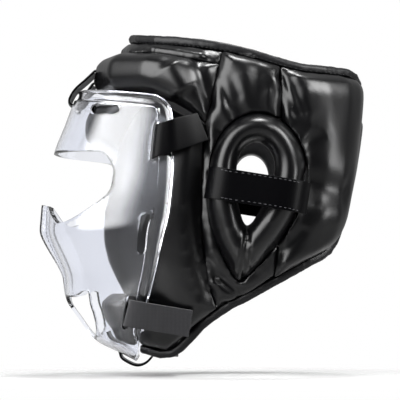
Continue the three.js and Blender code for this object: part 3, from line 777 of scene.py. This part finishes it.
def share_where(axis, z, wanted):
    """The share, on the left side, where the outer face reaches a value on an axis: 0 for X, 1 for Y."""
    sign = (1, -1)[axis]
    low, high = 0.0, 1.0
    for _ in range(30):
        middle = (low + high) / 2
        if sign * shield_points(middle, z)[axis] < wanted:
            low = middle
        else:
            high = middle
    return (low + high) / 2


print("shield rows:", len(SHIELD_LEVELS))


# %% Shield outlines on the map
def on_map(x, z):
    """The place on the map of a point that the photograph shows at x and z."""
    return Vector((AROUND * share_where(0, z, x), z))


def resampled(loop, step=2.0):
    """Points along a closed line, evenly spaced."""
    out = []
    for a, b in zip(loop, loop[1:] + loop[:1]):
        count = max(1, round((b - a).length / step))
        out += [a.lerp(b, k / count) for k in range(count)]
    return out


def rounded(loop, passes=2):
    """A closed line with its corners cut, so that it turns softly."""
    for _ in range(passes):
        sides = zip(loop, loop[1:] + loop[:1])
        loop = [a.lerp(b, share) for a, b in sides for share in (0.25, 0.75)]
    return loop


def across(loop):
    """The same line on the other side of the map."""
    return [Vector((-p.x, p.y)) for p in reversed(loop)]


def slot_loop(slot, arc=6):
    """The outline of a slot with round ends, each an arc of so many steps."""
    lean = math.radians(slot["lean"])
    radius = slot["wide"] / 2
    loop = []
    for end, first_turn in ((1, 0), (-1, math.pi)):
        for k in range(arc + 1):
            turn = math.pi * k / arc + first_turn
            u = radius * math.cos(turn)
            v = radius * math.sin(turn) + end * (slot["long"] / 2 - radius)
            x = slot["x"] + u * math.cos(lean) + v * math.sin(lean)
            z = slot["z"] - u * math.sin(lean) + v * math.cos(lean)
            loop.append(on_map(x, z))
    return loop


def middle_slot(slot):
    """The outline of a slot that crosses the middle of the sheet."""
    low, high = slot["z"] - slot["tall"] / 2, slot["z"] + slot["tall"] / 2
    reach = AROUND * share_where(1, slot["z"], slot["wide"] / 2)
    corners = ((-reach, low), (reach, low), (reach, high), (-reach, high))
    return rounded([Vector(corner) for corner in corners])


eye_left = [on_map(x, z) for x, z in EYE_OPENING]
eye_top, eye_bottom = (Vector((0, EYE_MIDDLE[end])) for end in ("top", "bottom"))
eye_loop = [eye_top, *eye_left, eye_bottom, *across(eye_left)]
vent_ends = (MOUTH_VENT[-1][1], MOUTH_VENT[0][1])
vent_inner = [Vector((AROUND * share_where(1, z, MOUTH_BAR / 2), z)) for z in vent_ends]
vent_loop = rounded([on_map(x, z) for x, z in MOUTH_VENT] + vent_inner, 1)
slot_loops = [slot_loop(slot) for slot in SIDE_SLOTS]
holes = [rounded(eye_loop), middle_slot(FRONT_SLOT), middle_slot(CHIN_SLOT)]
holes += [loop for side in [vent_loop, *slot_loops] for loop in (side, across(side))]


def corner_cut(share, radius):
    """How far a rounded corner takes the edge in, near the rear end of the sheet."""
    left = np.clip(radius - AROUND * (1 - np.abs(share)), 0, radius)
    return radius - np.sqrt(radius**2 - left**2)


def top_at(share):
    fall = (SHIELD_EDGE["front"] - SHIELD_EDGE["temple"]) * np.abs(share) ** TOP_FALL
    return SHIELD_EDGE["front"] - fall - corner_cut(share, SHIELD_CORNERS["top"])


def foot_at(share):
    lift = SHIELD_EDGE["jaw_lift"] * np.abs(share) ** FOOT_LIFT
    return SHIELD_EDGE["foot"] + lift + corner_cut(share, SHIELD_CORNERS["foot"])


RIM_POINTS = 161
shares = np.sin(np.linspace(-math.pi / 2, math.pi / 2, RIM_POINTS))
rim_foot = [Vector((AROUND * s, foot_at(s))) for s in shares]
rim_top = [Vector((AROUND * s, top_at(s))) for s in shares[::-1]]
outlines = [resampled(loop) for loop in [rim_foot + rim_top, *holes]]
print("openings of the shield:", len(holes))


# %% Shield sheet
SHEET_STEP = 2.4  # between the points of the map
BEAD_STEP = SHIELD_BEAD["wide"] / 8  # between the rows that shape the bead
BEAD_ROWS = 9
NORMAL_SHARES = (-0.985, 0.985)  # where the direction of the face is taken, clear of its rims
NORMAL_HEIGHTS = (-197, 55)


def enclosed(loop, places):
    """Which places lie inside a closed line."""
    odd = np.zeros(len(places), bool)
    for a, b in zip(loop, loop[1:] + loop[:1]):
        if a.y == b.y:
            continue
        crosses = (places[:, 1] < max(a.y, b.y)) & (places[:, 1] >= min(a.y, b.y))
        odd ^= crosses & (places[:, 0] < a.x + (places[:, 1] - a.y) * (b.x - a.x) / (b.y - a.y))
    return odd


def gap_to(line, places):
    """How far each place is from a line of points, measured to its straight pieces."""
    start, along = line[:-1], np.diff(line, axis=0)
    gaps = []
    for place in places:
        share = np.clip(np.sum((place - start) * along, axis=1) / np.sum(along**2, axis=1), 0, 1)
        gaps.append(np.min(np.linalg.norm(start + along * share[:, None] - place, axis=1)))
    return np.array(gaps)


def closed_line(loop):
    return np.array([*loop, loop[0]])


def rim_rows():
    """Rows of points that follow the outer edge, so that the bead on it comes out even."""
    rim = np.array(outlines[0])
    run = np.roll(rim, -1, axis=0) - np.roll(rim, 1, axis=0)
    inward = np.stack([-run[:, 1], run[:, 0]], axis=1) / np.linalg.norm(run, axis=1, keepdims=True)
    rows = np.concatenate([rim + inward * BEAD_STEP * k for k in range(1, BEAD_ROWS + 1)])
    return rows[gap_to(closed_line(outlines[0]), rows) > 0.7 * BEAD_STEP]


def map_points():
    """Points inside the sheet, clear of every outline: rows along its edge, an even spread elsewhere."""
    rows = np.arange(SHIELD_EDGE["foot"], SHIELD_EDGE["front"], SHEET_STEP * math.sqrt(3) / 2)
    columns = np.arange(-AROUND, AROUND, SHEET_STEP)
    grid = np.array([(x + SHEET_STEP / 2 * (k % 2), z) for k, z in enumerate(rows) for x in columns])
    grid = grid[enclosed(outlines[0], grid)]
    grid = grid[gap_to(closed_line(outlines[0]), grid) > (BEAD_ROWS + 0.7) * BEAD_STEP]
    grid = np.concatenate([grid, rim_rows()])
    for loop in outlines[1:]:
        grid = grid[~enclosed(loop, grid)]
        grid = grid[gap_to(closed_line(loop), grid) > 0.6 * SHEET_STEP]
    return [Vector(place) for place in grid]


def bead_height(places):
    """How far the rounded bead along the top and rear edges stands out at places on the map."""
    line = np.array([p for p in outlines[0] if p.y > SHIELD_BEAD["from"]])
    across_bead = 2 * gap_to(line, places) / SHIELD_BEAD["wide"] - 1
    return SHIELD_BEAD["high"] * np.sqrt(np.maximum(1 - across_bead**2, 0))


def shield_normals(share, z, share_step=0.01, z_step=1.5):
    """Directions out of the face, from short steps both ways."""
    share, z = np.clip(share, *NORMAL_SHARES), np.clip(z, *NORMAL_HEIGHTS)
    around = shield_points(share + share_step, z) - shield_points(share - share_step, z)
    upward = shield_points(share, z + z_step) - shield_points(share, z - z_step)
    out = np.cross(upward, around)
    return out / np.linalg.norm(out, axis=1, keepdims=True)


def bent(places):
    """Places on the map, moved to where they are on the moulded shield."""
    share, z = places[:, 0] / AROUND, places[:, 1]
    return (shield_points(share, z) + shield_normals(share, z) * bead_height(places)[:, None]) * MM


def shield_sheet(name):
    """The outer face of the shield, filled with triangles on the map and then bent."""
    flat = [p for loop in outlines for p in loop]
    edges, start = [], 0
    for loop in outlines:
        edges += [(start + k, start + (k + 1) % len(loop)) for k in range(len(loop))]
        start += len(loop)
    flat += map_points()
    corners, _, faces = delaunay_2d_cdt(flat, edges, [], 0, 1e-4, False)[:3]
    centres = np.array([sum((corners[k] for k in face), Vector((0, 0))) / 3 for face in faces])
    kept = enclosed(outlines[0], centres)
    for loop in outlines[1:]:
        kept &= ~enclosed(loop, centres)
    mesh = bpy.data.meshes.new(name)
    mesh.from_pydata(bent(np.array(corners)), [], [face for face, keep in zip(faces, kept) if keep])
    return new_piece(name, mesh)


SHARP = 50  # degrees: an edge that turns more is rounded, and stays an edge in the shading

shield = shield_sheet("face_shield_clear")
edit(shield, (bpy.ops.mesh.delete_loose, {}), (bpy.ops.mesh.normals_make_consistent, {"inside": False}))
if np.mean(facing_out(normals(shield), points(shield))) < 0:
    shield.data.flip_normals()
modify(shield, "SOLIDIFY", thickness=SHIELD_WALL * MM, offset=-1, use_even_offset=True)
round_edges(shield, width=0.6 * MM, sharper_than=SHARP)
only(shield)
bpy.ops.object.shade_smooth_by_angle(angle=math.radians(SHARP))
shield.data.materials.append(CLEAR)
place_piece(shield, "face_shield")
print("shield, triangles:", triangles([shield]))

# %% [markdown]
# ## Stitches
# The bound edges are sewn with black thread, and the hems of the ear straps with dark grey thread. One
# stitch is a small rounded bead. It is copied along a line that is found on the finished piece itself: the
# edge of the piece, moved in a little.

# %% Stitches
STITCH = Vector((3.0, 0.8, 0.8)) * MM  # long, wide, thick
STITCH_STEP = 4.6 * MM
RIM_RADIUS = 95 * MM  # about the radius of the top rim, to measure along it
CAST = 50 * MM  # how far outside its line a stitch starts on its way to the surface


def edge_line(piece, along, upper, inset):
    """Points near the upper or lower edge of a piece, one for each stitch by a measure along it."""
    places = points(piece)
    measure = along(places)
    line = []
    for low in np.arange(measure.min() + 2 * STITCH_STEP, measure.max() - 2 * STITCH_STEP, STITCH_STEP):
        band = places[(measure >= low) & (measure < low + STITCH_STEP)]
        if len(band) == 0:
            continue
        high = band[:, 2].max() - inset if upper else band[:, 2].min() + inset
        outer = band[np.argmax(np.linalg.norm(band[:, :2], axis=1))]
        line.append((outer[0], outer[1], high))
    line = np.array(line)
    for _ in range(3):
        line[1:-1] = (line[:-2] + line[1:-1] * 2 + line[2:]) / 4
    return line


def sew(name, piece, line, thread):
    """Beads along a line, each laid on the surface of the piece."""
    tree = BVHTree.FromObject(piece, bpy.context.evaluated_depsgraph_get())
    bpy.ops.object.select_all(action="DESELECT")
    bpy.ops.mesh.primitive_uv_sphere_add(segments=6, ring_count=5, radius=0.5)
    seam = bpy.context.object
    seam.name = name
    bead, faces = points(seam), [list(polygon.vertices) for polygon in seam.data.polygons]
    corners, sides = [], []
    for before, here, after in zip(line[:-2], line[1:-1], line[2:]):
        out = outward(here[None, :])[0]
        place, facing = tree.ray_cast(Vector(here + out * CAST), Vector(-out), 2 * CAST)[:2]
        if place is None:
            continue
        run = Vector(after - before)
        run = (run - facing * run.dot(facing)).normalized()
        turn = Matrix((run, facing.cross(run), facing)).transposed()
        sides += [[len(corners) + k for k in face] for face in faces]
        corners += [place + turn @ (Vector(corner) * STITCH) for corner in bead]
    seam.data.clear_geometry()
    seam.data.from_pydata(corners, [], sides)
    shade_smooth(seam)
    seam.data.materials.append(thread)
    place_piece(seam, None)
    return seam


def by_turn(places):
    away = places - np.array(HEAD_MIDDLE)
    return np.arctan2(away[:, 1], away[:, 0]) * RIM_RADIUS


def by_length(places):
    return places[:, 0]


top_line = edge_line(top_edge, by_turn, upper=False, inset=2.4 * MM)
threads = [sew("top_binding_stitches", top_edge, top_line, THREAD)]
ear_strap = next(band for band in bands if band.name == "ear_strap_left_sewn")
SIDE_ROWS = [
    ("bottom_binding", left_edge, True, 2.2 * MM, THREAD),
    ("ear_strap_upper", ear_strap, True, 2.4 * MM, STRAP_THREAD),
    ("ear_strap_lower", ear_strap, False, 2.4 * MM, STRAP_THREAD),
]
for name, piece, upper, inset, thread in SIDE_ROWS:
    left = sew(f"{name}_left_stitches", piece, edge_line(piece, by_length, upper, inset), thread)
    right = other_side(left, f"{name}_right_stitches", None)
    threads += [left, right]
print("rows of stitches:", len(threads), "triangles:", triangles(threads))

# %% [markdown]
# ## Size and finish
# The dressed model keeps the size of the solids. The scene is brought up to date at the end.

# %% Size and finish
bpy.context.view_layer.update()
